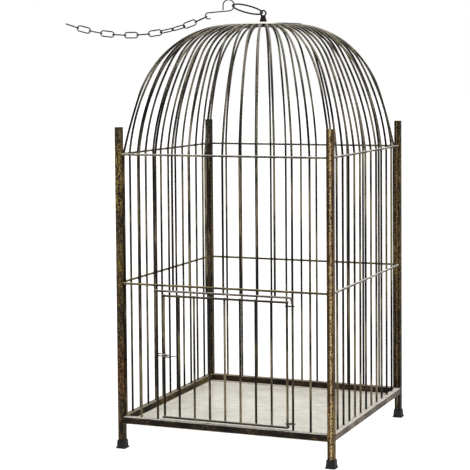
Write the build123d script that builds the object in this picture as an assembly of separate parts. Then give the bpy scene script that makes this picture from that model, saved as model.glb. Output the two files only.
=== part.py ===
from build123d import *
import math
import os

# A square wire bird cage on four tube posts, with a ribbed dome, a crown disc, a hinged door with a
# turning latch, and a hanging ring, S-hook and chain. Millimetres and degrees. The origin is on the
# floor under the middle of the cage, +Z is up and the door faces -Y.

# Driving dimensions of the cage
POST_SPACING = 400.0  # between the centre lines of two neighbouring posts
POST_SIDE = 12.0
POST_WALL = 1.2
POST_FOOT = 3.0  # the post stands on the inside floor of its cap, this far above the ground
POST_TOP = 581.0
WIRE = 4.0  # diameter of the rails, uprights, ribs and door wires
WIRES_A_SIDE = 11  # evenly spaced between the posts
BASE_RAIL_BOTTOM = 46.0
MID_RAIL = 300.0
TOP_RAIL = 532.0

# Foot caps
CAP_HEIGHT = 15.0
CAP_TOP_SIDE = 15.0
CAP_WAIST_SIDE = 16.4
CAP_BASE_SIDE = 19.0
CAP_WAIST = 3.2
CAP_SOLE = 1.0

# Floor tray, a thin sheet pan welded under the base rails
TRAY_SHEET = 0.8
TRAY_SIDE = 391.6
TRAY_BEAD = 1.6  # diameter of the rolled edge inside the rim
TRAY_NOTCH_GAP = 0.5  # the corners are notched round the posts

# Dome ribs: a slightly leaning flank arc, a tighter shoulder arc, then a short run under the crown
RIB_LEAN = 5.4
RIB_SHOULDER = 27.8
RIB_CROWN = 89.0
RIB_RISE = 231.0
CORNER_RIB_LEAN = 13.0  # the ribs at the posts are straighter below and bend more at the shoulder
CORNER_RIB_SHOULDER = 20.0
RIB_ARC_END = 68.0  # distance from the axis where the shoulder arc ends
RIB_TIP = 54.0  # distance from the axis where the rib ends

# Crown disc, hanging eye and its nut
CROWN_RADIUS = 72.5
CROWN_SHEET = 1.5
CROWN_DISH = 3.5
CROWN_FLAT = 12.0
CROWN_HOLE = 3.3
EYE_WIRE = 3.0
EYE_RADIUS = 5.0
EYE_STEM_HEIGHT = 11.0
EYE_STEM_FOOT = 7.0
EYE_STEM_NECK = 4.2
EYE_SHANK = 3.0
NUT_ACROSS_FLATS = 10.0
NUT_HEIGHT = 5.0

# Door in the lower bay of the front
DOOR_LATCH_BAR = -115.5
DOOR_HINGE_BAR = 119.0
DOOR_INNER_BARS = 7
DOOR_BOTTOM = 63.5
DOOR_TOP = 281.5
DOOR_WIRE_OVERHANG = 4.0
DOOR_CURL = 4.0
HEADER = 290.0
HEADER_BEND = 5.0
HEADER_TAIL = 5.0
HINGE_WIRE = 2.0
HINGE_GAP = 0.2
HINGE_HEIGHTS = {"upper": 274.5, "lower": 69.5}

# Latch, a bent wire that turns on the door's latch bar
LATCH_WIRE = 2.0
LATCH_TURN_WIRE = 2.4
LATCH_GAP = 0.3
LATCH_HEIGHT = 173.5
LATCH_STRAND_SPACING = 3.8
LATCH_REACH = 19.0
LATCH_EYE_OFFSET = 9.0
LATCH_EYE_RADIUS = 2.4
LATCH_HANDLE = 24.0

# Hanging hardware, in a vertical plane turned about the cage's axis
HANGER_TURN = 21.0
HANGER_GAP = 0.3
RING_WIRE = 3.0
RING_RADIUS = 28.5
RING_SLOPE = 15.0  # how far the ring points up from the eye
RING_ROLL = -15.0  # how far the ring leans over its own long direction
HOOK_WIRE = 2.2
BIG_HOOK_RADIUS = 10.3
HOOK_SHANK = 39.0
HOOK_SHANK_SLOPE = -5.0
SMALL_HOOK_RADIUS = 5.7
HOOK_TIP = 9.0
SMALL_HOOK_TURN = 215.0
CHAIN_WIRE = 2.2
LINK_LENGTH = 27.0
LINK_WIDTH = 12.4
CHAIN_START_SLOPE = -24.0
CHAIN_SLOPE_STEP = 3.9
LINK_ROLLS = [90.0, 0.0, 60.0, 120.0] + [180.0, 90.0] * 4  # the chain is twisted once

# Worked out from the driving dimensions
HALF = POST_SPACING / 2
CLEAR_WIDTH = POST_SPACING - POST_SIDE
WIRE_PITCH = CLEAR_WIDTH / (WIRES_A_SIDE + 1)
CORNER_WIRE_X = (WIRE - CLEAR_WIDTH) / 2  # one more wire stands against the left post of each side
WIRE_XS = [CORNER_WIRE_X] + [(i + 1) * WIRE_PITCH - CLEAR_WIDTH / 2 for i in range(WIRES_A_SIDE)]
RAIL_LINE = HALF + WIRE / 2  # the rails run outside the uprights
UPRIGHT_LINE = HALF - WIRE / 2
BASE_RAIL_TOP = BASE_RAIL_BOTTOM + POST_SIDE
CROWN_UNDERSIDE = TOP_RAIL + RIB_RISE + WIRE / 2
CROWN_TOP = CROWN_UNDERSIDE + CROWN_SHEET + CROWN_DISH
EYE_CENTRE = CROWN_TOP + EYE_STEM_HEIGHT + EYE_RADIUS
HINGE_X = WIRE_XS[-2]
LATCH_UPRIGHT_X = WIRE_XS[2]
SIDES = {"front": 0, "right": 90, "back": 180, "left": 270}
CORNERS = {
    "front_left": (-HALF, -HALF),
    "front_right": (HALF, -HALF),
    "back_right": (HALF, HALF),
    "back_left": (-HALF, HALF),
}


def rod(start, end, diameter):
    """A straight round wire between two points."""
    run = Vector(*end) - Vector(*start)
    return extrude(Plane(origin=start, z_dir=run) * Circle(diameter / 2), amount=run.length)


def bent_wire(path, diameter):
    """A round wire along a path."""
    return sweep(Plane(origin=path @ 0, z_dir=path % 0) * Circle(diameter / 2), path=path)


def square_tube(length):
    """A square tube standing on the XY plane."""
    inside = POST_SIDE - 2 * POST_WALL
    return extrude(Rectangle(POST_SIDE, POST_SIDE) - Rectangle(inside, inside), amount=length)


def post():
    return Pos(0, 0, POST_FOOT) * square_tube(POST_TOP - POST_FOOT)


def foot_cap():
    """A flared cap pushed over the post's lower end."""
    sole = Rectangle(CAP_BASE_SIDE, CAP_BASE_SIDE)
    waist = Rectangle(CAP_WAIST_SIDE, CAP_WAIST_SIDE)
    mouth = Rectangle(CAP_TOP_SIDE, CAP_TOP_SIDE)
    flare = loft([Pos(0, 0, CAP_SOLE) * sole, Pos(0, 0, CAP_WAIST) * waist])
    sleeve = loft([Pos(0, 0, CAP_WAIST) * waist, Pos(0, 0, CAP_HEIGHT) * mouth])
    socket = Pos(0, 0, POST_FOOT) * extrude(Rectangle(POST_SIDE, POST_SIDE), amount=CAP_HEIGHT)
    return extrude(sole, amount=CAP_SOLE) + flare + sleeve - socket


def base_rail():
    """The front base rail, a square tube between two posts."""
    tube = Pos(0, 0, -CLEAR_WIDTH / 2) * square_tube(CLEAR_WIDTH)
    return Pos(0, -HALF, BASE_RAIL_BOTTOM + POST_SIDE / 2) * Rot(0, 90, 0) * tube


def wire_rail(height):
    """A front rail of round wire, from post face to post face."""
    end = CLEAR_WIDTH / 2
    return rod((-end, -RAIL_LINE, height), (end, -RAIL_LINE, height), WIRE)


def upright(x, bottom, top=TOP_RAIL):
    return rod((x, -UPRIGHT_LINE, bottom), (x, -UPRIGHT_LINE, top), WIRE)


def floor_tray():
    """A flat floor with an upturned rim whose edge is rolled inwards."""
    rim_top = BASE_RAIL_BOTTOM
    bottom = rim_top - TRAY_BEAD - 2 * TRAY_SHEET
    outer = Rectangle(TRAY_SIDE, TRAY_SIDE)
    inside = TRAY_SIDE - 2 * TRAY_SHEET
    inner = Rectangle(inside, inside)
    pan = extrude(outer, amount=rim_top - bottom)
    pan -= Pos(0, 0, TRAY_SHEET) * extrude(inner, amount=rim_top - bottom)
    edge = inside / 2 - TRAY_BEAD / 4
    bead_height = rim_top - bottom - TRAY_BEAD / 2
    for angle in SIDES.values():
        bead = rod((-edge, -edge, bead_height), (edge, -edge, bead_height), TRAY_BEAD)
        pan += Rot(0, 0, angle) * bead
    notch = POST_SIDE + 2 * TRAY_NOTCH_GAP
    for x, y in CORNERS.values():
        pan -= Pos(x, y, 0) * Box(notch, notch, 4 * (rim_top - bottom))
    return Pos(0, 0, bottom) * pan


def rib_angles(x):
    """The slopes of a rib, off upright, where its flank arc starts and ends."""
    return (CORNER_RIB_LEAN, CORNER_RIB_SHOULDER) if x == CORNER_WIRE_X else (RIB_LEAN, RIB_SHOULDER)


def rib_radii(foot, flank_start, flank_end):
    """The radii of a rib's flank and shoulder arcs, for the rib's distance from the axis at the rail."""
    lean, shoulder, crown = (math.radians(a) for a in (flank_start, flank_end, RIB_CROWN))
    inward = (math.cos(lean) - math.cos(shoulder), math.cos(shoulder) - math.cos(crown))
    upward = (math.sin(shoulder) - math.sin(lean), math.sin(crown) - math.sin(shoulder))
    run = foot - RIB_ARC_END
    rise = RIB_RISE - WIRE / 2 * math.sin(lean)
    determinant = inward[0] * upward[1] - inward[1] * upward[0]
    flank = (run * upward[1] - rise * inward[1]) / determinant
    shoulder_radius = (rise * inward[0] - run * upward[0]) / determinant
    return flank, shoulder_radius


def dome_rib(x):
    """One rib of the front's dome, bent in the upright plane through the cage's axis."""
    foot = math.hypot(x, UPRIGHT_LINE)
    flank_start, flank_end = rib_angles(x)
    flank_radius, shoulder_radius = rib_radii(foot, flank_start, flank_end)
    lean = math.radians(flank_start)
    start = (foot, TOP_RAIL + WIRE / 2 * math.sin(lean))
    heading = (-math.sin(lean), math.cos(lean))
    flank = JernArc(start, heading, flank_radius, flank_end - flank_start)
    shoulder = JernArc(flank @ 1, flank % 1, shoulder_radius, RIB_CROWN - flank_end)
    tip = Line(shoulder @ 1, shoulder @ 1 + (shoulder % 1) * (RIB_ARC_END - RIB_TIP))
    azimuth = math.atan2(-UPRIGHT_LINE, x)
    outwards = (math.cos(azimuth), math.sin(azimuth), 0)
    sideways = (math.sin(azimuth), -math.cos(azimuth), 0)
    plane = Plane(origin=(0, 0, 0), x_dir=outwards, z_dir=sideways)
    return bent_wire(plane * Wire([flank, shoulder, tip]), WIRE)


def crown_disc():
    """A thin disc, dished upwards to a flat middle with the eye's hole."""
    rim = (CROWN_RADIUS, 0)
    outline = Polyline(
        (CROWN_HOLE, CROWN_DISH),
        (CROWN_FLAT, CROWN_DISH),
        rim,
        (CROWN_RADIUS, CROWN_SHEET),
        (CROWN_FLAT, CROWN_DISH + CROWN_SHEET),
        (CROWN_HOLE, CROWN_DISH + CROWN_SHEET),
        close=True,
    )
    return Pos(0, 0, CROWN_UNDERSIDE) * revolve(Plane.XZ * make_face(outline), Axis.Z)


def hanging_eye():
    """An eye bolt: a wire eye on a flared stem, with a shank through the disc."""
    stem = Cone(
        EYE_STEM_FOOT,
        EYE_STEM_NECK,
        EYE_STEM_HEIGHT,
        align=(Align.CENTER, Align.CENTER, Align.MIN),
    )
    shank_length = CROWN_SHEET + NUT_HEIGHT + EYE_SHANK
    shank = Pos(0, 0, -shank_length / 2) * Cylinder(EYE_SHANK, shank_length)
    loop = Pos(0, 0, EYE_STEM_HEIGHT + EYE_RADIUS) * Rot(90, 0, 0) * Torus(EYE_RADIUS, EYE_WIRE / 2)
    return hanger_place(Pos(0, 0, CROWN_TOP) * (stem + shank + loop))


def eye_nut():
    """The hexagon nut under the crown disc."""
    hexagon = RegularPolygon(NUT_ACROSS_FLATS / 2, 6, major_radius=False) - Circle(EYE_SHANK)
    return Pos(0, 0, CROWN_TOP - CROWN_SHEET - NUT_HEIGHT) * extrude(hexagon, amount=NUT_HEIGHT)


def door_bar(x):
    overlap = WIRE / 2
    return upright(x, DOOR_BOTTOM - overlap, DOOR_TOP + overlap)


def door_bar_xs():
    step = (DOOR_HINGE_BAR - DOOR_LATCH_BAR) / (DOOR_INNER_BARS + 1)
    return [DOOR_LATCH_BAR + (i + 1) * step for i in range(DOOR_INNER_BARS)]


def door_top_wire():
    left = DOOR_LATCH_BAR - WIRE / 2
    right = DOOR_HINGE_BAR + DOOR_WIRE_OVERHANG
    return rod((left, -RAIL_LINE, DOOR_TOP), (right, -RAIL_LINE, DOOR_TOP), WIRE)


def door_bottom_wire():
    """The lower cross wire, with its hinge end curled up."""
    left = DOOR_LATCH_BAR - WIRE / 2
    run = Line((left, DOOR_BOTTOM), (DOOR_HINGE_BAR, DOOR_BOTTOM))
    curl = JernArc(run @ 1, run % 1, DOOR_CURL, 80)
    return Pos(0, -RAIL_LINE, 0) * bent_wire(Plane.XZ * Wire([run, curl]), WIRE)


def header_wire():
    """The fixed wire over the door, bent down along the hinge upright at one end."""
    left = LATCH_UPRIGHT_X - WIRE / 2
    run = Line((left, HEADER), (HINGE_X - HEADER_BEND, HEADER))
    bend = JernArc(run @ 1, run % 1, HEADER_BEND, -90)
    tail = Line(bend @ 1, bend @ 1 + Vector(0, -HEADER_TAIL))
    return Pos(0, -RAIL_LINE, 0) * bent_wire(Plane.XZ * Wire([run, bend, tail]), WIRE)


def long_loop(half_length, radius, diameter):
    """A closed wire loop in the XY plane, long along X, with half round ends."""
    corners = [(half_length, -radius), (half_length, radius), (-half_length, radius), (-half_length, -radius)]
    right = JernArc(corners[0], (1, 0), radius, 180)
    left = JernArc(corners[2], (-1, 0), radius, 180)
    top = Line(corners[1], corners[2])
    bottom = Line(corners[3], corners[0])
    return bent_wire(Wire([right, top, left, bottom]), diameter)


def hinge_loop(height):
    """A loop round the hinge upright, welded to the door's hinge bar."""
    radius = WIRE / 2 + HINGE_GAP + HINGE_WIRE / 2
    half_length = (HINGE_X - DOOR_HINGE_BAR - HINGE_GAP) / 2
    return Pos(HINGE_X - half_length, -UPRIGHT_LINE, height) * long_loop(half_length, radius, HINGE_WIRE)


def latch():
    """Two turns round the latch bar, a hairpin finger behind the upright, and a handle with an eye."""
    turn_radius = WIRE / 2 + LATCH_GAP + LATCH_TURN_WIRE / 2
    strand = LATCH_STRAND_SPACING / 2
    upper = Line((0, strand), (-LATCH_REACH + strand, strand))
    nose = JernArc(upper @ 1, upper % 1, strand, 180)
    lower = Line(nose @ 1, (0, -strand))
    finger = Pos(0, turn_radius, 0) * bent_wire(Plane.XZ * Wire([upper, nose, lower]), LATCH_WIRE)
    shape = finger
    for level in (-strand, strand):
        shape += Pos(0, 0, level) * Torus(turn_radius, LATCH_TURN_WIRE / 2)
        shape += rod((0, -turn_radius, level), (LATCH_EYE_OFFSET, -turn_radius, level), LATCH_WIRE)
    eye = Rot(90, 0, 0) * Torus(LATCH_EYE_RADIUS, LATCH_WIRE / 2)
    shape += Pos(LATCH_EYE_OFFSET, -turn_radius, 0) * eye
    handle_start = LATCH_EYE_OFFSET + LATCH_EYE_RADIUS
    shape += rod((handle_start, -turn_radius, 0), (LATCH_HANDLE, -turn_radius, 0), LATCH_WIRE)
    return Pos(DOOR_LATCH_BAR, -UPRIGHT_LINE, LATCH_HEIGHT) * shape


def hanger_place(shape):
    """Turns a shape made in the XZ plane into the hanging hardware's plane."""
    return Rot(0, 0, HANGER_TURN) * shape


def slope_direction(angle):
    """The direction that leads away from the eye, rising by an angle."""
    return Vector(-math.cos(math.radians(angle)), 0, math.sin(math.radians(angle)))


def slope_normal(angle):
    """The upward normal of a slope direction."""
    return Vector(math.sin(math.radians(angle)), 0, math.cos(math.radians(angle)))


def ring_tangent():
    """The ring's wire direction at both ends of its long direction."""
    return Vector(0, 1, 0).rotate(Axis((0, 0, 0), slope_direction(RING_SLOPE)), RING_ROLL)


def ring_pivot():
    """Where the ring's wire passes through the eye."""
    play = EYE_RADIUS - EYE_WIRE / 2 - RING_WIRE / 2 - HANGER_GAP - 0.1
    return Vector(0, 0, EYE_CENTRE) + slope_direction(RING_SLOPE) * play


def hook_pivot():
    """The ring's far end, where the S-hook holds it."""
    return ring_pivot() + slope_direction(RING_SLOPE) * (2 * RING_RADIUS)


def hanging_ring():
    along = slope_direction(RING_SLOPE)
    centre = ring_pivot() + along * RING_RADIUS
    plane = Plane(origin=centre, x_dir=along, z_dir=along.cross(ring_tangent()))
    return hanger_place(plane * Torus(RING_RADIUS, RING_WIRE / 2))


def big_hook_centre():
    reach = BIG_HOOK_RADIUS - HOOK_WIRE / 2 - RING_WIRE / 2 - HANGER_GAP
    return hook_pivot() - Vector(reach, 0, 0)


def s_hook_path():
    """The S-hook's centre line in the XZ plane, from its long tip to the end of its small hook."""
    centre = big_hook_centre()
    outside = Vector(centre.X - BIG_HOOK_RADIUS, centre.Z)
    tip = Line(outside - Vector(0, HOOK_TIP), outside)
    big_hook = JernArc(outside, (0, 1), BIG_HOOK_RADIUS, -270 - HOOK_SHANK_SLOPE)
    shank = Line(big_hook @ 1, big_hook @ 1 + (big_hook % 1) * HOOK_SHANK)
    small_hook = JernArc(shank @ 1, shank % 1, SMALL_HOOK_RADIUS, SMALL_HOOK_TURN)
    return Plane.XZ * Wire([tip, big_hook, shank, small_hook])


def small_hook_centre():
    below_big_hook = big_hook_centre() - slope_normal(HOOK_SHANK_SLOPE) * BIG_HOOK_RADIUS
    shank_end = below_big_hook + slope_direction(HOOK_SHANK_SLOPE) * HOOK_SHANK
    return shank_end - slope_normal(HOOK_SHANK_SLOPE) * SMALL_HOOK_RADIUS


def s_hook():
    return hanger_place(bent_wire(s_hook_path(), HOOK_WIRE))


def chain_pivot():
    """Where the small hook holds the first link."""
    play = SMALL_HOOK_RADIUS - HOOK_WIRE / 2 - CHAIN_WIRE / 2 - HANGER_GAP
    return small_hook_centre() + slope_direction(CHAIN_START_SLOPE) * play


def pin_link(first):
    """Which of a link and its next one is the more edge-on: its end wire is the pair's pivot pin."""
    edge_on = [abs(math.sin(math.radians(roll))) for roll in LINK_ROLLS]
    return first + 1 if edge_on[first + 1] > edge_on[first] - 0.01 else first


def link_slope(number):
    return CHAIN_START_SLOPE + number * CHAIN_SLOPE_STEP


def chain_layout():
    """Each link's centre, the pivot at its near end and the pivot's axis, in the XZ plane."""
    overlap = CHAIN_WIRE + HANGER_GAP
    last = len(LINK_ROLLS) - 1
    layout = []
    pivot = chain_pivot()
    pin = 0
    for number in range(last + 1):
        along = slope_direction(link_slope(number))
        axis = end_wire_direction(pin)
        near_end = pivot - along * (0 if pin == number else overlap)
        far_end = near_end + along * (LINK_LENGTH - CHAIN_WIRE)
        layout.append(((near_end + far_end) * 0.5, pivot, axis))
        pin = pin_link(number) if number < last else number
        pivot = far_end - along * (0 if pin == number else overlap)
    return layout


def end_wire_direction(number):
    """The direction of a link's end wires in the XZ plane's frame."""
    rolled = Vector(0, 0, 1).rotate(Axis.X, LINK_ROLLS[number])
    return rolled.rotate(Axis.Y, link_slope(number))


def chain_link(number):
    radius = (LINK_WIDTH - CHAIN_WIRE) / 2
    loop = long_loop((LINK_LENGTH - LINK_WIDTH) / 2, radius, CHAIN_WIRE)
    turn = Rot(0, link_slope(number), 0) * Rot(LINK_ROLLS[number] - 90, 0, 0)
    centre = chain_layout()[number][0]
    return hanger_place(Pos(*centre) * turn * loop)


def cage_parts():
    """Every fixed piece of the cage, by node name."""
    parts = {}
    for corner, (x, y) in CORNERS.items():
        parts[f"post_{corner}"] = Pos(x, y, 0) * post()
        parts[f"foot_cap_{corner}"] = Pos(x, y, 0) * foot_cap()
    for side, angle in SIDES.items():
        turn = Rot(0, 0, angle)
        parts[f"base_rail_{side}"] = turn * base_rail()
        parts[f"mid_rail_{side}"] = turn * wire_rail(MID_RAIL)
        parts[f"top_rail_{side}"] = turn * wire_rail(TOP_RAIL)
        parts[f"dome_ribs_{side}"] = Compound([turn * dome_rib(x) for x in WIRE_XS])
        if side != "front":
            parts[f"uprights_{side}"] = Compound([turn * upright(x, BASE_RAIL_TOP) for x in WIRE_XS])
    parts["uprights_latch_side"] = Compound([upright(x, BASE_RAIL_TOP) for x in WIRE_XS[:3]])
    parts["uprights_hinge_side"] = Compound([upright(x, BASE_RAIL_TOP) for x in WIRE_XS[-2:]])
    parts["uprights_over_door"] = Compound([upright(x, HEADER - WIRE / 2) for x in WIRE_XS[3:-2]])
    parts["door_header_wire"] = header_wire()
    parts["floor_tray"] = floor_tray()
    parts["crown_disc"] = crown_disc()
    parts["hanging_eye"] = hanging_eye()
    parts["eye_nut"] = eye_nut()
    return parts


def door_parts():
    """The door's pieces and its latch, by node name."""
    parts = {
        "door_top_wire": door_top_wire(),
        "door_bottom_wire": door_bottom_wire(),
        "door_latch_bar": door_bar(DOOR_LATCH_BAR),
        "door_hinge_bar": door_bar(DOOR_HINGE_BAR),
        "door_inner_bars": Compound([door_bar(x) for x in door_bar_xs()]),
        "door_latch": latch(),
    }
    for name, height in HINGE_HEIGHTS.items():
        parts[f"hinge_loop_{name}"] = hinge_loop(height)
    return parts


def hanger_parts():
    """The ring, the S-hook and the chain's links, by node name."""
    parts = {"hanging_ring": hanging_ring(), "s_hook": s_hook()}
    for number in range(len(LINK_ROLLS)):
        parts[f"chain_link_{number + 1:02d}"] = chain_link(number)
    return parts


def main():
    os.makedirs("parts", exist_ok=True)
    for group in (cage_parts(), door_parts(), hanger_parts()):
        for node, shape in group.items():
            export_step(shape, f"parts/{node}.step")


if __name__ == "__main__":
    main()
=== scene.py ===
import logging
import math
from dataclasses import dataclass, field
from enum import Enum
from typing import Any

import bpy
import numpy as np
from mathutils import Matrix, Vector


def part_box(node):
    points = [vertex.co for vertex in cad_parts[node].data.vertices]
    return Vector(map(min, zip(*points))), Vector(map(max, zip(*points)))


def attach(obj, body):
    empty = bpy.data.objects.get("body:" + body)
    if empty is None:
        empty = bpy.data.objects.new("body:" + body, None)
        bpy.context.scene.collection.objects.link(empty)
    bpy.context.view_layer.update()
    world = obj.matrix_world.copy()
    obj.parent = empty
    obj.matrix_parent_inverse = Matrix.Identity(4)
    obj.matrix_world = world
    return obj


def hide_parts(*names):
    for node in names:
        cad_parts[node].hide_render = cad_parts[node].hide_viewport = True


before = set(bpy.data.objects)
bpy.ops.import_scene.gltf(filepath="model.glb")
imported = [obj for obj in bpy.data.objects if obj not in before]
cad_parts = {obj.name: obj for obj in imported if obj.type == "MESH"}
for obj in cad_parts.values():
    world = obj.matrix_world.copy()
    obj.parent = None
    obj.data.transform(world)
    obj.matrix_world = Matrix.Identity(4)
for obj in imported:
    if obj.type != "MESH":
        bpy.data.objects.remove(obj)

# A square wire bird cage on four tube posts, dressed over its fixed CAD frame. Metres throughout, with
# the origin on the floor under the middle of the cage, +Z up and the door towards -Y.

LOG = logging.getLogger("bird_cage")
MM = 0.001
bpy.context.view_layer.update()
BAND_FADE = 12 * MM  # over which a post's band of colour fades out
HIGHLIGHT_LINE_FADE = 0.8 * MM  # over which the side of a painted highlight line fades out
POST_FLECK_MM = 2.2  # flecks on the posts and rails, where the brush skipped
SENSOR_WIDTH_MM = 36.0
SHARP_CORNER = math.radians(40)  # two faces that turn more than this meet in a crisp edge


class Grain(Enum):
    """The direction a piece was brushed in: the pattern is drawn out along it."""

    UP = (1.0, 1.0, 0.07)
    ALONG_X = (0.07, 1.0, 1.0)
    ALONG_Y = (1.0, 0.07, 1.0)
    LONG_UP = (1.0, 1.0, 0.2)
    NONE = (1.0, 1.0, 1.0)


class Side(Enum):
    """A side of the cage, by its turn from the front in degrees."""

    FRONT = 0
    RIGHT = 90
    BACK = 180
    LEFT = 270


# ---------------------------------------------------------------- meshes


@dataclass
class Skin:
    """A surface on a grid of points, closed round its columns.

    Args:
        points: rows x columns x 3, the columns running anticlockwise seen from the rows' forward end.
        loops: True where the last row joins the first, as on a torus or a tube's wall. Otherwise the
            two end rows are closed with flat caps.
        wear: one value a column, how much the finish is rubbed there, or None.
    """

    points: np.ndarray
    loops: bool = False
    wear: np.ndarray | None = None

    def faces(self, first: int) -> list[list[int]]:
        """Lists the skin's faces.

        Args:
            first: the number of the skin's first vertex in the mesh.

        Returns:
            The quads between neighbouring rows and columns, and the two caps of an open skin.
        """
        rows, columns = self.points.shape[:2]
        grid = first + np.arange(rows * columns).reshape(rows, columns)
        lower = grid if self.loops else grid[:-1]
        upper = np.roll(grid, -1, axis=0) if self.loops else grid[1:]
        quads = np.stack([lower, np.roll(lower, -1, 1), np.roll(upper, -1, 1), upper], axis=-1)
        caps = [] if self.loops else [grid[0][::-1].tolist(), grid[-1].tolist()]
        return quads.reshape(-1, 4).tolist() + caps

    def turned(self, side: Side) -> "Skin":
        """Returns the skin turned from the front to another side of the cage."""
        angle = math.radians(side.value)
        cosine, sine = math.cos(angle), math.sin(angle)
        turn = np.array([[cosine, sine, 0], [-sine, cosine, 0], [0, 0, 1]])
        return Skin(self.points @ turn, self.loops, self.wear)

    def moved(self, place: tuple[float, float, float]) -> "Skin":
        """Returns the skin moved by a vector."""
        return Skin(self.points + np.array(place), self.loops, self.wear)


def make_piece(name: str, skins: list[Skin], material: bpy.types.Material) -> bpy.types.Object:
    """Joins skins into one smooth shaded mesh object at the origin.

    Args:
        name: the object's name.
        skins: the surfaces, in the row frame.
        material: the finish.

    Returns:
        The new object, linked to the scene.
    """
    corners = np.concatenate([skin.points.reshape(-1, 3) for skin in skins])
    faces: list[list[int]] = []
    wear: list[np.ndarray] = []
    first = 0
    for skin in skins:
        rows, columns = skin.points.shape[:2]
        faces += skin.faces(first)
        wear.append(np.tile(np.zeros(columns) if skin.wear is None else skin.wear, rows))
        first += rows * columns
    mesh = bpy.data.meshes.new(name)
    mesh.from_pydata(corners, [], faces)
    mesh.attributes.new("wear", "FLOAT", "POINT").data.foreach_set("value", np.concatenate(wear))
    mesh.polygons.foreach_set("use_smooth", np.ones(len(mesh.polygons), dtype=bool))
    mesh.set_sharp_from_angle(angle=SHARP_CORNER)
    mesh.materials.append(material)
    piece = bpy.data.objects.new(name, mesh)
    bpy.context.scene.collection.objects.link(piece)
    return piece


def rounded_square(half: float, corner: float, arc_steps: int = 5) -> tuple[np.ndarray, np.ndarray]:
    """A square outline with quarter round corners.

    Each corner is its own centre plus the radius times the cosine and sine of the angle. Two more
    points stand on each flat, one radius from the corner, so that wear can fade out there.

    Args:
        half: half the width across the flats.
        corner: the corner's radius.
        arc_steps: points in a corner's arc.

    Returns:
        The outline's points, anticlockwise, and the wear at each: 1 in the middle of a corner.
    """
    turns = np.linspace(0, math.pi / 2, arc_steps)
    arc = (half - corner) + corner * np.stack([np.cos(turns), np.sin(turns)], axis=1)
    inset = max(half - 2.6 * corner, 0.0)
    quarter = np.concatenate([[[half, inset]], arc, [[inset, half]]])
    fade = np.concatenate([[0.0], 0.35 + 0.65 * np.sin(2 * turns), [0.0]])
    outline = [quarter]
    for _ in range(3):
        quarter = np.stack([-quarter[:, 1], quarter[:, 0]], axis=1)
        outline.append(quarter)
    return np.concatenate(outline), np.tile(fade, 4)


def square_wall(levels: list[tuple[float, float, float]], loops: bool) -> Skin:
    """A skin through level rounded squares, one over the other.

    Args:
        levels: the half width, corner radius and height of each row.
        loops: whether the last row joins the first.

    Returns:
        The skin, standing on the origin.
    """
    rows = []
    wear = np.zeros(0)
    for half, corner, height in levels:
        outline, wear = rounded_square(half, corner)
        rows.append(np.column_stack([outline, np.full(len(outline), height)]))
    return Skin(np.stack(rows), loops, wear)


def carried_circle(path: np.ndarray, normal: np.ndarray, radii: np.ndarray, columns: int = 12) -> Skin:
    """A round wire along a closed flat path.

    At each point of the path the circle lies across the tangent: its two directions are the path's
    normal, and the cross product of that normal and the tangent.

    Args:
        path: the closed centre line, points x 3.
        normal: the unit normal of the plane the path lies in.
        radii: the wire's radius at each point.
        columns: points round the wire.

    Returns:
        The wire's skin, closed both ways.
    """
    tangent = np.roll(path, -1, axis=0) - np.roll(path, 1, axis=0)
    tangent /= np.linalg.norm(tangent, axis=1, keepdims=True)
    across = np.cross(normal, tangent)
    turns = np.linspace(0, 2 * math.pi, columns, endpoint=False)
    ring = np.cos(turns)[None, :, None] * across[:, None, :] + np.sin(turns)[None, :, None] * normal
    return Skin(path[:, None, :] + radii[:, None, None] * ring, loops=True)


def bead(half_sizes: tuple[float, float, float], rows: int = 5, columns: int = 8) -> Skin:
    """A small weld bead, an ellipsoid.

    Each row is a circle of latitude: the half sizes times the cosine of the latitude, and its sine.

    Args:
        half_sizes: the bead's half sizes along X, Y and Z.
        rows: circles of latitude.
        columns: points round the bead.

    Returns:
        The bead's skin, about the origin.
    """
    latitude = np.linspace(-1.35, 1.35, rows)[:, None]
    turns = np.linspace(0, 2 * math.pi, columns, endpoint=False)[None, :]
    ball = np.stack(
        [np.cos(latitude) * np.cos(turns), np.cos(latitude) * np.sin(turns), np.sin(latitude) + 0 * turns],
        axis=-1,
    )
    return Skin(ball * np.array(half_sizes))


# ---------------------------------------------------------------- finishes


def linear(colour: str) -> tuple[float, float, float, float]:
    """Turns an sRGB hex colour to the linear values a shader takes."""
    levels = [int(colour[i : i + 2], 16) / 255 for i in (1, 3, 5)]
    red, green, blue = (v / 12.92 if v <= 0.04045 else ((v + 0.055) / 1.055) ** 2.4 for v in levels)
    return red, green, blue, 1.0


def per_metre(size_mm: float) -> float:
    """The noise scale whose features are about this many millimetres across."""
    return 1.0 / (size_mm * MM)


def add_node(
    tree: bpy.types.NodeTree, kind: str, inputs: dict[Any, Any], **settings: Any
) -> Any:
    """Adds a node to a tree.

    Args:
        tree: the material's node tree.
        kind: the node's type name.
        inputs: the value, or the socket to link, for each input's name or number.
        settings: the node's own properties.

    Returns:
        The node.
    """
    node = tree.nodes.new(kind)
    for name, value in settings.items():
        setattr(node, name, value)
    for key, value in inputs.items():
        if isinstance(value, bpy.types.NodeSocket):
            tree.links.new(value, node.inputs[key])
        else:
            node.inputs[key].default_value = value
    return node


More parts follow.
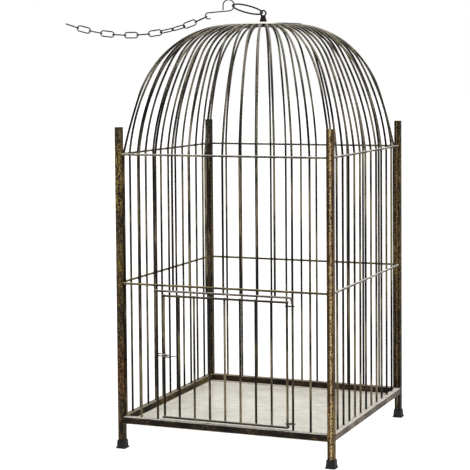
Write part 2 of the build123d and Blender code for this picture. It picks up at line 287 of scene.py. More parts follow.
class Patch:
    """Node recipes that every finish of this cage shares."""

    def __init__(self, name: str) -> None:
        """Makes the material and its empty tree."""
        self.material = bpy.data.materials.new(name)
        self.material.use_nodes = True
        self.tree = self.material.node_tree
        self.shader = self.tree.nodes["Principled BSDF"]
        self.place = add_node(self.tree, "ShaderNodeTexCoord", {}).outputs["Object"]

    def noise(
        self, size_mm: float, grain: Grain = Grain.NONE, detail: float = 3.0, shift: float = 0.0
    ) -> Any:
        """Cloudy noise of a real size, drawn out along the grain.

        Args:
            size_mm: the size of a feature across the grain.
            grain: the direction the pattern is drawn out in.
            detail: how many finer layers it has.
            shift: moves the pattern, so that two noises differ.

        Returns:
            The noise's socket, from 0 to 1.
        """
        mapped = add_node(
            self.tree,
            "ShaderNodeMapping",
            {0: self.place, "Location": (shift, shift, shift), "Scale": grain.value},
        )
        return add_node(
            self.tree,
            "ShaderNodeTexNoise",
            {"Vector": mapped.outputs[0], "Scale": per_metre(size_mm), "Detail": detail, "Roughness": 0.62},
        ).outputs[0]

    def ramp(self, value: Any, low: float, high: float, top: float = 1.0) -> Any:
        """A soft step from 0 to top as the value goes from low to high."""
        return add_node(
            self.tree,
            "ShaderNodeMapRange",
            {"Value": value, "From Min": low, "From Max": high, "To Min": 0.0, "To Max": top},
            interpolation_type="SMOOTHSTEP",
        ).outputs[0]

    def between(self, value: Any, low: float, high: float, edge: float) -> Any:
        """One where the value lies between two limits, fading out over an edge on either side."""
        rising = self.ramp(value, low - edge, low + edge)
        return self.product(rising, self.ramp(value, high + edge, high - edge))

    def sum_of(self, first: Any, second: Any, factor: float) -> Any:
        """The first value plus the second times a factor."""
        return add_node(
            self.tree, "ShaderNodeMath", {0: second, 1: factor, 2: first}, operation="MULTIPLY_ADD"
        ).outputs[0]

    def product(self, first: Any, second: Any) -> Any:
        """The two values multiplied."""
        return add_node(self.tree, "ShaderNodeMath", {0: first, 1: second}, operation="MULTIPLY").outputs[0]

    def mix(self, factor: Any, under: Any, over: Any) -> Any:
        """Lays one colour over another by a factor."""
        inputs = {0: factor, 6: under, 7: over}
        return add_node(self.tree, "ShaderNodeMix", inputs, data_type="RGBA").outputs[2]

    def position(self) -> list[Any]:
        """The place on the object along X, Y and Z."""
        return list(add_node(self.tree, "ShaderNodeSeparateXYZ", {0: self.place}).outputs)

    def facing_up(self) -> Any:
        """How far a surface faces up, from -1 to 1."""
        normal = add_node(self.tree, "ShaderNodeNewGeometry", {}).outputs["Normal"]
        return add_node(self.tree, "ShaderNodeSeparateXYZ", {0: normal}).outputs[2]

    def finish(self, colour: Any, roughness: Any, relief: Any, depth_mm: float) -> bpy.types.Material:
        """Links the colour, roughness and bump to the shader.

        Args:
            colour: the colour's socket.
            roughness: the roughness's socket.
            relief: the height pattern's socket.
            depth_mm: the real depth of the relief.

        Returns:
            The material.
        """
        bump = add_node(self.tree, "ShaderNodeBump", {"Height": relief, "Distance": depth_mm * MM})
        for name, socket in (("Base Color", colour), ("Roughness", roughness), ("Normal", bump.outputs[0])):
            self.tree.links.new(socket, self.shader.inputs[name])
        return self.material


@dataclass(frozen=True)
class PostBand:
    """A stretch of a post in a colour of its own: thick brushed gold, or at the back right post's foot a
    dark blue-grey.

    Args:
        low: the band's lower end, in metres above the floor.
        high: its upper end.
        colour: the colour it takes.
        strength: how much of the surface it covers.
    """

    low: float
    high: float
    colour: str
    strength: float


@dataclass(frozen=True)
class HighlightStreak:
    """A painted highlight: one long pale line up a post, where its face catches the light.

    Args:
        left: the line's left edge, in metres along X.
        right: its right edge.
        colour: the colour it takes.
    """

    left: float
    right: float
    colour: str


@dataclass(frozen=True)
class AntiquedEnamel:
    """Mild steel with black-brown stoving enamel, dry-brushed by hand with antique gold.

    The brush leaves thin streaks along the stock, catches on the edges and skips elsewhere. The eye sees
    a dark, half-matt ground with broken olive-gold and tan on it. Its paler upward faces are a painted
    highlight, broken up by the strokes and flecks.

    Args:
        name: the material's name.
        ground: the enamel.
        umber: the thin first wash over it.
        gold: the dry-brushed gold.
        pale: the colour of the painted highlight on upward faces, broken up by the strokes and flecks.
        gold_cover: the share of the surface that the gold takes.
        top_highlight: how strong the painted highlight on upward faces is.
        grain: the direction of the strokes.
        tone_mm: how far apart the tone changes, which makes one wire differ from the next.
        tone_weight: how much the tone decides where the gold lies.
        speckle_mm: the size of the flecks where the brush skipped.
        speckle: how strong the flecks are beside the strokes.
        edge_wear: how far the gold is rubbed on to the stock's corners.
        roughness: the enamel's roughness.
        bands: stretches in a colour of their own.
        streaks: painted highlights, long pale lines up a post.
    """

    name: str
    ground: str = "#16110e"
    umber: str = "#33281d"
    gold: str = "#75653b"
    pale: str = "#b7ac97"
    gold_cover: float = 0.45
    top_highlight: float = 0.7
    grain: Grain = Grain.UP
    tone_mm: float = 42.0
    tone_weight: float = 0.5
    speckle_mm: float = 1.1
    speckle: float = 0.45
    edge_wear: float = 1.0
    roughness: float = 0.46
    bands: tuple[PostBand, ...] = ()
    streaks: tuple[HighlightStreak, ...] = ()

    def build(self) -> bpy.types.Material:
        """Builds the material.

        Returns:
            The finished material.
        """
        patch = Patch(self.name)
        tone = patch.noise(self.tone_mm, Grain.LONG_UP, detail=1.0)
        # Brush strokes are about a third of a millimetre wide, drawn here at 1.6 mm so that they show.
        strokes = patch.noise(1.6, self.grain, detail=4.0, shift=0.31)
        flecks = patch.noise(self.speckle_mm, detail=2.0, shift=0.77)
        broken = patch.sum_of(strokes, flecks, self.speckle)
        # Noise averages one half, so these are the averages that the steps below are set round.
        average = 0.5 + 0.5 * self.speckle
        toned_average = average + 0.5 * self.tone_weight
        wash = patch.sum_of(tone, strokes, 0.35)
        colour = patch.mix(patch.ramp(wash, 0.52, 0.82), linear(self.ground), linear(self.umber))
        start = toned_average + 0.145 - 0.28 * self.gold_cover
        toned = patch.sum_of(broken, tone, self.tone_weight)
        gilding = patch.product(patch.ramp(toned, start, start + 0.14), 0.85)
        colour = patch.mix(gilding, colour, linear(self.gold))
        across, _, height = patch.position()
        for band in self.bands:
            inside = patch.between(height, band.low, band.high, BAND_FADE)
            start = toned_average + 0.175 - 0.3 * band.strength
            cover = patch.ramp(toned, start, start + 0.16)
            colour = patch.mix(patch.product(inside, cover), colour, linear(band.colour))
        # Painted highlights: pale lines up the post where its face catches the light, broken up like the
        # brush pattern.
        for highlight_line in self.streaks:
            inside = patch.between(across, highlight_line.left, highlight_line.right, HIGHLIGHT_LINE_FADE)
            cover = patch.ramp(broken, average - 0.12, average + 0.06, 0.85)
            colour = patch.mix(patch.product(inside, cover), colour, linear(highlight_line.colour))
        wear = add_node(patch.tree, "ShaderNodeAttribute", {}, attribute_name="wear").outputs["Fac"]
        rubbed = patch.ramp(broken, average - 0.045, average + 0.175, 0.7)
        cornered = patch.product(patch.ramp(wear, 0.2, 1.0, self.edge_wear), rubbed)
        colour = patch.mix(cornered, colour, linear(self.gold))
        # Painted highlight: upward faces take the pale colour, broken up by the strokes and flecks.
        upward = patch.ramp(patch.facing_up(), 0.25, 0.9, self.top_highlight)
        painted_top_highlight = patch.product(upward, patch.ramp(broken, average - 0.325, average + 0.075))
        colour = patch.mix(painted_top_highlight, colour, linear(self.pale))
        gloss = add_node(
            patch.tree,
            "ShaderNodeMapRange",
            {"Value": broken, "To Min": self.roughness - 0.08, "To Max": self.roughness + 0.16},
        ).outputs[0]
        patch.shader.inputs["Metallic"].default_value = 0.1
        patch.shader.inputs["Specular IOR Level"].default_value = 0.12
        return patch.finish(colour, gloss, broken, 0.08)


@dataclass(frozen=True)
class SpangledSheet:
    """Zinc-coated steel sheet, rolled, with faint rolling lines and handling marks.

    The eye sees a cream-white, half-matt sheet with long faint streaks.

    Args:
        name: the material's name.
        light: the sheet's lighter tone.
        dull: its duller tone.
    """

    name: str = "zinc_coated_rolled_sheet"
    light: str = "#fefaee"
    dull: str = "#e0dccf"

    def build(self) -> bpy.types.Material:
        """Builds the material.

        Returns:
            The finished material.
        """
        patch = Patch(self.name)
        lines = patch.noise(2.4, Grain.ALONG_X, detail=4.0)
        clouds = patch.noise(60.0, detail=3.0, shift=0.4)
        blend = patch.ramp(patch.sum_of(lines, clouds, 0.9), 0.6, 1.25)
        colour = patch.mix(blend, linear(self.dull), linear(self.light))
        gloss = patch.ramp(lines, 0.0, 1.4, 0.62)
        return patch.finish(colour, gloss, lines, 0.03)


@dataclass(frozen=True)
class RubbedCrown:
    """Sheet steel spun to a dish, with cream enamel on its upper face and edge.

    The eye sees a pale disc, dark underneath, with a brown, scuffed patch to one side.

    Args:
        name: the material's name.
        cream: the enamel.
        scuff: the scuffed brown.
        rim: the bare dark steel underneath.
    """

    name: str = "cream_enamel_rubbed"
    cream: str = "#fffaf0"
    scuff: str = "#3c3128"
    rim: str = "#1d1713"

    def build(self) -> bpy.types.Material:
        """Builds the material.

        Returns:
            The finished material.
        """
        patch = Patch(self.name)
        cloud = patch.noise(16.0, detail=4.0)
        scuffed = patch.ramp(patch.sum_of(cloud, patch.position()[0], 14.0), 0.95, 1.3)
        colour = patch.mix(scuffed, linear(self.cream), linear(self.scuff))
        underside = patch.ramp(patch.facing_up(), -0.25, -0.75)
        colour = patch.mix(underside, colour, linear(self.rim))
        gloss = patch.ramp(cloud, -0.6, 1.2, 0.6)
        return patch.finish(colour, gloss, cloud, 0.05)


@dataclass(frozen=True)
class MouldedPlastic:
    """Black polyethylene, injection moulded with a fine spark-eroded grain.

    The eye sees an even charcoal, matt, with soft pale edges.

    Args:
        name: the material's name.
        body: the plastic.
        haze: the greyed, handled surface.
    """

    name: str = "black_polyethylene_moulded"
    body: str = "#161617"
    haze: str = "#29292a"

    def build(self) -> bpy.types.Material:
        """Builds the material.

        Returns:
            The finished material.
        """
        patch = Patch(self.name)
        grain = patch.noise(0.8, detail=2.0)
        dust = patch.noise(7.0, detail=3.0, shift=0.5)
        colour = patch.mix(patch.ramp(dust, 0.4, 0.75), linear(self.body), linear(self.haze))
        gloss = patch.ramp(grain, -1.2, 1.0, 0.72)
        patch.shader.inputs["Specular IOR Level"].default_value = 0.2
        return patch.finish(colour, gloss, grain, 0.04)


# ---------------------------------------------------------------- sub-assemblies


def dress(node: str, material: bpy.types.Material) -> None:
    """Gives a CAD node its finish.

    Args:
        node: the node's name.
        material: its finish.
    """
    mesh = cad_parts[node].data
    mesh.materials.clear()
    mesh.materials.append(material)
    LOG.info("dressed %s in %s", node, material.name)


def ride_and_log(piece: bpy.types.Object, body: str) -> None:
    """Puts a new piece on its body and reports it."""
    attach(piece, body)
    LOG.info("made %s, %d faces, on %s", piece.name, len(piece.data.polygons), body)


@dataclass
class Posts:
    """The four square tube posts, open at the top, and their foot caps.

    Args:
        side: the tube's width.
        wall: its wall.
        corner: the radius of its corners.
        lip: the small round on the sawn top edge.
        cap_corner: the corner radius of a foot cap.
    """

    side: float = 12 * MM
    wall: float = 1.2 * MM
    corner: float = 1.3 * MM
    lip: float = 0.3 * MM
    cap_corner: float = 2.0 * MM
    finishes: dict[str, AntiquedEnamel] = field(
        default_factory=lambda: {
            "front_left": AntiquedEnamel(
                "antiqued_enamel_post_front_left",
                gold_cover=0.42,
                speckle_mm=POST_FLECK_MM,
                speckle=1.1,
                bands=(
                    PostBand(0.43, 0.545, "#9d8449", 0.75),
                    PostBand(0.25, 0.34, "#77622f", 0.6),
                    PostBand(0.09, 0.19, "#8a5a2c", 0.55),
                ),
            ),
            "front_right": AntiquedEnamel(
                "antiqued_enamel_post_front_right",
                ground="#1d130c",
                umber="#3d2915",
                gold="#80623a",
                gold_cover=0.15,
                speckle_mm=POST_FLECK_MM,
                speckle=1.1,
                edge_wear=0.4,
                bands=(PostBand(0.0, 0.11, "#8c7344", 0.55),),
                # A painted highlight: a pale line up the post's face, where it catches the light.
                streaks=(HighlightStreak(0.1997, 0.2034, "#d2b987"),),
            ),
            "back_right": AntiquedEnamel(
                "antiqued_enamel_post_back_right",
                ground="#1a110b",
                umber="#2d1e12",
                gold="#97804f",
                gold_cover=0.1,
                edge_wear=0.5,
                speckle_mm=POST_FLECK_MM,
                speckle=1.1,
                # A painted highlight, in the same place as on the front right post.
                streaks=(HighlightStreak(0.1985, 0.2003, "#8f7a52"),),
                # The post is darker, a blue-grey, over its lowest 55 mm.
                bands=(PostBand(0.0, 0.055, "#1c2026", 1.1),),
            ),
            "back_left": AntiquedEnamel(
                "antiqued_enamel_post_back_left", gold_cover=0.3, speckle_mm=POST_FLECK_MM, speckle=1.1
            ),
        }
    )

    def tube(self, bottom: float, top: float) -> Skin:
        """The tube's wall: up the outside, over the lip and down the inside.

        Args:
            bottom: the height of its lower end.
            top: the height of its upper end.

        Returns:
            The wall's skin, about the Z axis.
        """
        outer = self.side / 2
        inner = outer - self.wall
        inner_corner = self.corner - self.wall * 0.7
        levels = [
            (outer, self.corner, bottom),
            (outer, self.corner, top - self.lip),
            (outer - self.lip, self.corner, top),
            (inner + self.lip, inner_corner, top),
            (inner, inner_corner, top - self.lip),
            (inner, inner_corner, bottom),
        ]
        return square_wall(levels, loops=True)

    def cap(self, low: Vector, high: Vector) -> Skin:
        """A foot cap: a flared sole, a sleeve that draws in to the mouth, and the socket inside.

        Args:
            low: the lowest corner of the CAD cap.
            high: its highest corner.

        Returns:
            The cap's skin, about the Z axis.
        """
        half = (high.x - low.x) / 2
        top = high.z
        fit = self.side / 2
        mouth = fit + 1.5 * MM
        waist = fit + 2.2 * MM
        corner = self.cap_corner
        levels = [
            (half - 0.6 * MM, corner, 0.0),
            (half, corner, 0.4 * MM),
            (half, corner, 1.2 * MM),
            (waist + 0.9 * MM, corner, 2.3 * MM),
            (waist + 0.15 * MM, corner, 3.2 * MM),
            (waist, corner, 4.2 * MM),
            (mouth + 0.1 * MM, corner, top - 1.0 * MM),
            (mouth - 0.3 * MM, corner * 0.8, top),
            (fit + 0.15 * MM, self.corner, top),
            (fit, self.corner, top - 0.3 * MM),
            (fit, self.corner, 3.0 * MM),
        ]
        return square_wall(levels, loops=False)

    def build(self, plastic: bpy.types.Material) -> None:
        """Makes and dresses the posts and caps.

        Args:
            plastic: the caps' material.
        """
        for corner, finish in self.finishes.items():
            low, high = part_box(f"post_{corner}")
            place = ((low.x + high.x) / 2, (low.y + high.y) / 2, 0.0)
            post = make_piece(
                f"post_tube_{corner}", [self.tube(low.z, high.z).moved(place)], finish.build()
            )
            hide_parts(f"post_{corner}")
            ride_and_log(post, "cage")
            cap_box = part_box(f"foot_cap_{corner}")
            cap = make_piece(f"foot_{corner}", [self.cap(*cap_box).moved(place)], plastic)
            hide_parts(f"foot_cap_{corner}")
            ride_and_log(cap, "cage")


@dataclass
class BaseFrame:
    """The four square tube base rails and the floor tray.

    Args:
        side: the tube's width.
        corner: the radius of its corners.
    """

    side: float = 12 * MM
    corner: float = 1.2 * MM

    def rail(self, length: float, line: float, bottom: float) -> Skin:
        """The front rail: a rounded square carried along X.

        Args:
            length: the rail's length.
            line: the distance of its centre line from the cage's axis.
            bottom: the height of its lower face.

        Returns:
            The rail's skin.
        """
        outline, wear = rounded_square(self.side / 2, self.corner)
        ends = np.array([-length / 2, length / 2])
        y = -line + outline[:, 0]
        z = bottom + self.side / 2 + outline[:, 1]
        rows = [np.column_stack([np.full(len(outline), x), y, z]) for x in ends]
        return Skin(np.stack(rows), wear=wear)

    def build(self, finishes: dict[Side, bpy.types.Material], sheet: bpy.types.Material) -> None:
        """Makes the rails and dresses the tray.

        Args:
            finishes: each side's material.
            sheet: the tray's material.
        """
        low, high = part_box("base_rail_front")
        for side, material in finishes.items():
            node = f"base_rail_{side.name.lower()}"
            skin = self.rail(high.x - low.x, -(low.y + high.y) / 2, low.z).turned(side)
            rail = make_piece(f"tube_{node}", [skin], material)
            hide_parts(node)
            ride_and_log(rail, "cage")
        dress("floor_tray", sheet)


@dataclass
class CageWires:
    """The rails, uprights and ribs of round wire, with a weld bead wherever two of them cross.

    Args:
        wire: the wire's diameter.
        wires_a_side: how many uprights a side has, the first of them against the post.
        open_wires: which of the front's uprights stop at the door's header.
    """

    wire: float = 4 * MM
    wires_a_side: int = 12
    open_wires: range = range(3, 10)

    def upright_places(self) -> np.ndarray:
        """Works out where the front's uprights stand.

        Returns:
            Their distances from the middle: one against the left post, the rest evenly spread. The
            back's box holds the same places turned half round.
        """
        low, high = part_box("uprights_back")
        corner = self.wire / 2 - high.x
        last = -low.x - self.wire / 2
        return np.concatenate([[corner], np.linspace(-last, last, self.wires_a_side - 1)])

    def beads(self, side: Side) -> list[Skin]:
        """The weld beads of one side: at the base rail, the two wire rails and under each rib.

        Args:
            side: the side.

        Returns:
            One small ellipsoid for each weld.
        """
        rail_low, rail_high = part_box("mid_rail_front")
        middle = (rail_low.z + rail_high.z) / 2
        top = sum(corner.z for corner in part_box("top_rail_front")) / 2
        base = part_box("base_rail_front")[1].z
        upright_line = rail_high.y
        crossing = bead((2.5 * MM, 2.0 * MM, 2.4 * MM))
        footing = bead((2.9 * MM, 2.7 * MM, 1.5 * MM))
        cap = bead((2.3 * MM, 2.2 * MM, 2.5 * MM))
        skins = []
        for number, x in enumerate(self.upright_places()):
            skins.append(crossing.moved((x, upright_line, middle)))
            skins.append(crossing.moved((x, upright_line, top)))
            skins.append(cap.moved((x, upright_line + self.wire / 2, top)))
            if side is not Side.FRONT or number not in self.open_wires:
                skins.append(footing.moved((x, upright_line + self.wire / 2, base)))
        return [skin.turned(side) for skin in skins]

    def build(self, wires: dict[str, bpy.types.Material], weld: bpy.types.Material) -> None:
        """Dresses the wires and adds the beads.

        Args:
            wires: the material of each kind of wire, by the start of its nodes' names.
            weld: the beads' material.
        """
        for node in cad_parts:
            for start, material in wires.items():
                if node.startswith(start):
                    dress(node, material)
        for side in Side:
            beads = make_piece(f"weld_beads_{side.name.lower()}", self.beads(side), weld)
            ride_and_log(beads, "cage")


@dataclass
class Door:
    """The door's wires, its latch and hinge loops, and the welds between its bars and cross wires.

    Args:
        wire: the wire's diameter.
        inner_bars: how many bars stand between the latch bar and the hinge bar.
    """

    wire: float = 4 * MM
    inner_bars: int = 7

    def beads(self) -> list[Skin]:
        """The weld beads where each bar meets the upper and the lower cross wire.

        Returns:
            One small ellipsoid for each weld.
        """
        latch_low, latch_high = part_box("door_latch_bar")
        hinge_low, hinge_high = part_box("door_hinge_bar")
        first = (latch_low.x + latch_high.x) / 2
        last = (hinge_low.x + hinge_high.x) / 2
        inside_face = latch_low.y
        nugget = bead((2.4 * MM, 1.9 * MM, 2.2 * MM))
        skins = []
        for height in (latch_low.z + self.wire / 2, latch_high.z - self.wire / 2):
            for x in np.linspace(first, last, self.inner_bars + 2):
                skins.append(nugget.moved((x, inside_face, height)))
        return skins

    def build(
        self, bars: bpy.types.Material, cross: bpy.types.Material, latch: bpy.types.Material
    ) -> None:
        """Dresses the door.

        Args:
            bars: the upright bars' material.
            cross: the material of the cross wires and the hinge loops.
            latch: the latch's material.
        """
        for node in ("door_latch_bar", "door_hinge_bar", "door_inner_bars"):
            dress(node, bars)
        for node in ("door_top_wire", "door_bottom_wire", "hinge_loop_upper", "hinge_loop_lower"):
            dress(node, cross)
        dress("door_latch", latch)
        ride_and_log(make_piece("weld_beads_door", self.beads(), bars), "door")


@dataclass
class Crown:
    """The dished disc on top, with its rounded rim, and the eye bolt and nut.

    Args:
        sheet: the sheet's thickness.
        rim_round: how far in from the edge the rim's rounding starts.
        flat: the radius of the flat middle.
        hole: the radius of the eye's hole.
        columns: points round the disc.
    """

    sheet: float = 1.5 * MM
    rim_round: float = 2.2 * MM
    flat: float = 12 * MM
    hole: float = 3.3 * MM
    columns: int = 96

    def profile(self, radius: float, bottom: float, top: float) -> np.ndarray:
        """The disc's section as a closed outline of distances and heights.

        The dish is a flat cone from its level middle to the rim. The rim's outer side is a quarter
        ellipse: the distance falls with the cosine of the angle while the height rises with its sine.

        Args:
            radius: the disc's radius.
            bottom: the height of the rim's underside.
            top: the height of the middle's upper face.

        Returns:
            The outline, outer side going up.
        """
        reach = np.linspace(0, 1, 12)
        distance = self.flat + (radius - self.rim_round - self.flat) * reach
        rise = (top - bottom - self.sheet) * (1 - reach)
        upper = np.column_stack([distance, bottom + self.sheet + rise])
        lower = np.column_stack([distance, bottom + rise])
        turns = np.linspace(0, math.pi / 2, 7)[:-1]
        inwards = self.rim_round * (1 - np.cos(turns))
        rim = np.column_stack([radius - inwards, bottom + self.sheet * np.sin(turns)])
        hole = np.array([[self.hole, top], [self.hole, top - self.sheet]])
        return np.concatenate([rim, upper[::-1], hole, lower])

    def build(self, cream: bpy.types.Material, steel: bpy.types.Material) -> None:
        """Makes the disc and dresses the eye and nut.

        Args:
            cream: the disc's material.
            steel: the eye's and the nut's material.
        """
        low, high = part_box("crown_disc")
        section = self.profile(high.x, low.z, high.z)
        turns = np.linspace(0, 2 * math.pi, self.columns, endpoint=False)
        spun = np.stack(
            [
                section[:, :1] * np.cos(turns),
                section[:, :1] * np.sin(turns),
                np.repeat(section[:, 1:], self.columns, axis=1),
            ],
            axis=-1,
        )
        disc = make_piece("crown_dish", [Skin(spun, loops=True)], cream)
        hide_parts("crown_disc")
        ride_and_log(disc, "cage")
        dress("hanging_eye", steel)
        dress("eye_nut", steel)


@dataclass
class Chain:
    """The ring, the S-hook and the welded links of the chain.

    Args:
        wire: the links' wire.
        length: a link's outside length.
        width: its outside width.
        weld_swell: how far the butt weld in a link's side stands proud.
        columns: points round the wire.
        slant: a direction that no link lies square to.
    """

    wire: float = 2.2 * MM
    length: float = 27 * MM
    width: float = 12.4 * MM
    weld_swell: float = 0.25 * MM
    columns: int = 14
    slant: tuple[float, float, float] = (1.0, -0.6, 1.0)

    def outline(self) -> tuple[np.ndarray, np.ndarray]:
        """A link's centre line, two straight sides with half round ends, and its wire's radius.

        The radius is the wire's, plus a bell curve of the distance from the weld in one side.

        Returns:
            The points in the link's own plane, anticlockwise, and the radius at each.
        """
        radius = (self.width - self.wire) / 2
        half = (self.length - self.width) / 2
        turns = np.linspace(-math.pi / 2, math.pi / 2, 13)
        bow = np.column_stack([half + radius * np.cos(turns), radius * np.sin(turns)])
        along = np.linspace(half, -half, 11)[1:-1]
        side = np.column_stack([along, np.full(len(along), radius)])
        points = np.concatenate([bow, side, -bow, -side])
        from_weld = np.hypot(points[:, 0], points[:, 1] - radius)
        return points, self.wire / 2 + self.weld_swell * np.exp(-((from_weld / (0.9 * MM)) ** 2))

    def link(self, node: str) -> Skin:
        """One link in its place.

        The CAD link's corners give its middle, and their principal directions give its long
        direction, its width and its normal. Each direction is turned to the side of a slanted one, so
        that the weld is always in the same side.

        Args:
            node: the CAD link's name.

        Returns:
            The link's skin.
        """
        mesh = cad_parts[node].data
        corners = np.empty(3 * len(mesh.vertices))
        mesh.vertices.foreach_get("co", corners)
        corners = corners.reshape(-1, 3)
        low, high = corners.min(axis=0), corners.max(axis=0)
        middle = (low + high) / 2
        directions = np.linalg.svd(corners - corners.mean(axis=0), full_matrices=False)[2]
        along, across = (direction * np.sign(direction @ self.slant) for direction in directions[:2])
        points, radii = self.outline()
        path = middle + points[:, :1] * along + points[:, 1:] * across
        return carried_circle(path, np.cross(along, across), radii, self.columns)

    def build(self, steel: bpy.types.Material) -> None:
        """Makes the links and dresses the ring and the hook.

        Args:
            steel: the material of them all.
        """
        for node in sorted(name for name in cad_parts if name.startswith("chain_link")):
            number = node.removeprefix("chain_link_")
            link = make_piece(f"welded_link_{number}", [self.link(node)], steel)
            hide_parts(node)
            ride_and_log(link, f"link_{number}")
        dress("hanging_ring", steel)
        dress("s_hook", steel)


@dataclass
class Studio:
    """The floor, the soft lights and the camera.

    Args:
        azimuth: how far the camera stands round to the right of the door side, in degrees.
        distance: its level distance from the cage's axis.
        height: its height above the floor.
        pitch: how far it looks down, in degrees.
        roll: how far it leans, in degrees.
        lens: its focal length in millimetres, on a 36 mm sensor.
        shift: its sideways and upward shift, in frame widths.
        fill: how strongly the surround lights the cage.
        floor_glow: how much light the floor gives by itself, which keeps shadows on it faint.
    """

    azimuth: float = 21.67
    distance: float = 2.779
    height: float = 0.6865
    pitch: float = 3.31
    roll: float = -0.39
    lens: float = 114.25
    shift: tuple[float, float] = (-0.0619, -0.174)
    fill: float = 0.35
    floor_glow: float = 0.8

    def add_camera(self) -> None:
        """Adds the camera, from its azimuth, pitch and roll, and makes it the scene's."""
        azimuth, pitch, roll = (math.radians(a) for a in (self.azimuth, self.pitch, self.roll))
        level = Vector((-math.sin(azimuth), math.cos(azimuth), 0))
        forward = level * math.cos(pitch) - Vector((0, 0, math.sin(pitch)))
        right = Vector((math.cos(azimuth), math.sin(azimuth), 0))
        up = right.cross(forward)
        leaned = right * math.cos(roll) + up * math.sin(roll)
        axes = Matrix((leaned, leaned.cross(forward), -forward)).transposed()
        camera = bpy.data.objects.new("camera", bpy.data.cameras.new("camera"))
        camera.data.lens = self.lens
        camera.data.sensor_width = SENSOR_WIDTH_MM
        camera.data.shift_x, camera.data.shift_y = self.shift
        place = Vector((0, 0, self.height)) - level * self.distance
        camera.matrix_world = Matrix.Translation(place) @ axes.to_4x4()
        bpy.context.scene.collection.objects.link(camera)
        bpy.context.scene.camera = camera

    def add_sky(self) -> None:
        """Adds the studio's white surround, bright behind the cage and dimmer as a source of light."""
        world = bpy.data.worlds.new("white_surround")
        world.use_nodes = True
        seen = add_node(world.node_tree, "ShaderNodeLightPath", {}).outputs["Is Camera Ray"]
        strength = add_node(
            world.node_tree, "ShaderNodeMapRange", {"Value": seen, "To Min": self.fill, "To Max": 1.0}
        ).outputs[0]
        background = world.node_tree.nodes["Background"]
        background.inputs["Color"].default_value = linear("#ffffff")
        world.node_tree.links.new(strength, background.inputs["Strength"])
        bpy.context.scene.world = world

    def add_daylight(
        self, name: str, direction: tuple[float, float, float], spread: float, power: float
    ) -> None:
        """Adds a very wide, even light, like a big diffuser overhead.

        Args:
            name: the light's name.
            direction: where it comes from.
            spread: how wide it looks, in degrees.
            power: its strength.
        """
        light = bpy.data.objects.new(name, bpy.data.lights.new(name, "SUN"))
        light.data.angle = math.radians(spread)
        light.data.energy = power
        light.matrix_world = (-Vector(direction)).to_track_quat("-Z", "Y").to_matrix().to_4x4()
        bpy.context.scene.collection.objects.link(light)

    def add_light(
        self, name: str, place: tuple[float, float, float], size: float, power: float
    ) -> None:
        """Adds a square softbox that faces the middle of the cage.

        Args:
            name: the light's name.
            place: where it hangs.
            size: its side.
            power: its power in watts.
        """
        light = bpy.data.objects.new(name, bpy.data.lights.new(name, "AREA"))
        light.data.size = size
        light.data.energy = power
        aim = Vector((0, 0, 0.4)) - Vector(place)
        light.matrix_world = Matrix.Translation(place) @ aim.to_track_quat("-Z", "Y").to_matrix().to_4x4()
        bpy.context.scene.collection.objects.link(light)

    def add_floor(self) -> None:
        """Adds a wide pale floor."""
        patch = Patch("pale_studio_floor")
        patch.shader.inputs["Base Color"].default_value = linear("#a9a9a8")
        patch.shader.inputs["Roughness"].default_value = 1.0
        patch.shader.inputs["Specular IOR Level"].default_value = 0.0
        patch.shader.inputs["Emission Color"].default_value = linear("#ffffff")
        patch.shader.inputs["Emission Strength"].default_value = self.floor_glow
        mesh = bpy.data.meshes.new("floor")
        reach = 30.0
        corners = [(-reach, -reach, 0), (reach, -reach, 0), (reach, reach, 0), (-reach, reach, 0)]
        mesh.from_pydata(corners, [], [(0, 1, 2, 3)])
        mesh.materials.append(patch.material)
        floor = bpy.data.objects.new("floor", mesh)
        bpy.context.scene.collection.objects.link(floor)

    def build(self) -> None:
        """Sets the studio up."""
        self.add_floor()
        self.add_camera()
        self.add_daylight("diffuser_overhead", (0.45, 0.0, 1.0), 70.0, 2.9)
        self.add_light("softbox_left", (-2.2, -2.0, 1.5), 1.6, 14.0)
        self.add_sky()
        bpy.context.scene.view_settings.view_transform = "Standard"


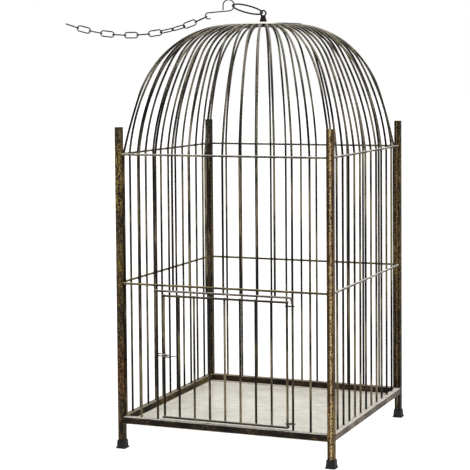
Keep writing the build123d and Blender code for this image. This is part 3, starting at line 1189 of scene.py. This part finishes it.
def main() -> None:
    """Builds every sub-assembly in order."""
    logging.basicConfig(level=logging.INFO, format="%(name)s: %(message)s")
    Studio().build()
    Posts().build(MouldedPlastic().build())
    rails = (
        # Painted shade: the front rail's darker ground and wash stand for its front face turned away from
        # the light. Its full pale top is a painted highlight.
        AntiquedEnamel(
            "antiqued_enamel_rail_front_painted_shade",
            ground="#130f0d",
            umber="#241b17",
            gold_cover=0.12,
            pale="#d6d2ca",
            top_highlight=1.0,
            grain=Grain.ALONG_X,
            speckle_mm=POST_FLECK_MM,
            speckle=0.9,
        ),
        # Painted light: the right rail's light grey-taupe ground, wash and gold stand for its outer face
        # lit from the right; the enamel is the same as on the other rails.
        AntiquedEnamel(
            "antiqued_enamel_rail_right_painted_light",
            ground="#453d36",
            umber="#655b51",
            gold="#857a6c",
            gold_cover=0.35,
            pale="#d6d2ca",
            top_highlight=1.0,
            grain=Grain.ALONG_Y,
        ),
        AntiquedEnamel(
            "antiqued_enamel_rail_back",
            ground="#1f171a",
            umber="#3b2a20",
            gold_cover=0.2,
            grain=Grain.ALONG_X,
        ),
        AntiquedEnamel(
            "antiqued_enamel_rail_left",
            umber="#3a2d1d",
            gold_cover=0.35,
            grain=Grain.ALONG_Y,
            speckle_mm=POST_FLECK_MM,
            speckle=0.9,
        ),
    )
    BaseFrame().build(
        {side: finish.build() for side, finish in zip(Side, rails)},
        SpangledSheet().build(),
    )
    upright = AntiquedEnamel(
        "antiqued_enamel_upright",
        ground="#120e0c",
        umber="#33271c",
        gold="#80755a",
        gold_cover=0.42,
        tone_mm=30.0,
        tone_weight=1.3,
    ).build()
    rib = AntiquedEnamel(
        "antiqued_enamel_rib",
        ground="#120e0c",
        umber="#2a231b",
        gold="#8b8370",
        gold_cover=0.5,
        pale="#c4bdaf",
        top_highlight=0.55,
        tone_mm=34.0,
        tone_weight=0.9,
        grain=Grain.NONE,
    ).build()
    mid_rail = AntiquedEnamel(
        "antiqued_enamel_mid_rail",
        gold="#7d7348",
        gold_cover=0.5,
        pale="#b3a57c",
        top_highlight=0.8,
        grain=Grain.NONE,
    ).build()
    # The top rails' finish: its full pale top is a painted highlight along their upward faces.
    top_rail = AntiquedEnamel(
        "antiqued_enamel_top_rail",
        gold="#9d9685",
        gold_cover=0.5,
        pale="#d8d3c8",
        top_highlight=1.0,
        grain=Grain.NONE,
    ).build()
    black_wire = AntiquedEnamel(
        "antiqued_enamel_door_cross_wire",
        ground="#120e0c",
        gold_cover=0.2,
        pale="#a9a294",
        top_highlight=0.6,
        grain=Grain.NONE,
    ).build()
    CageWires().build(
        {
            "uprights": upright,
            "dome_ribs": rib,
            "mid_rail": mid_rail,
            # Painted light: the right mid rail takes the top rails' paler finish for the highlight along
            # its top, where the light from the right falls.
            "mid_rail_right": top_rail,
            "top_rail": top_rail,
            "door_header": top_rail,
        },
        upright,
    )
    hardware = AntiquedEnamel(
        "bronze_black_enamel_hardware",
        ground="#0d0a08",
        umber="#1e1915",
        gold="#4a4033",
        gold_cover=0.1,
        grain=Grain.NONE,
        top_highlight=0.0,
    ).build()
    Door().build(upright, black_wire, top_rail)
    Crown().build(RubbedCrown().build(), hardware)
    Chain().build(hardware)


if __name__ == "__main__":
    main()
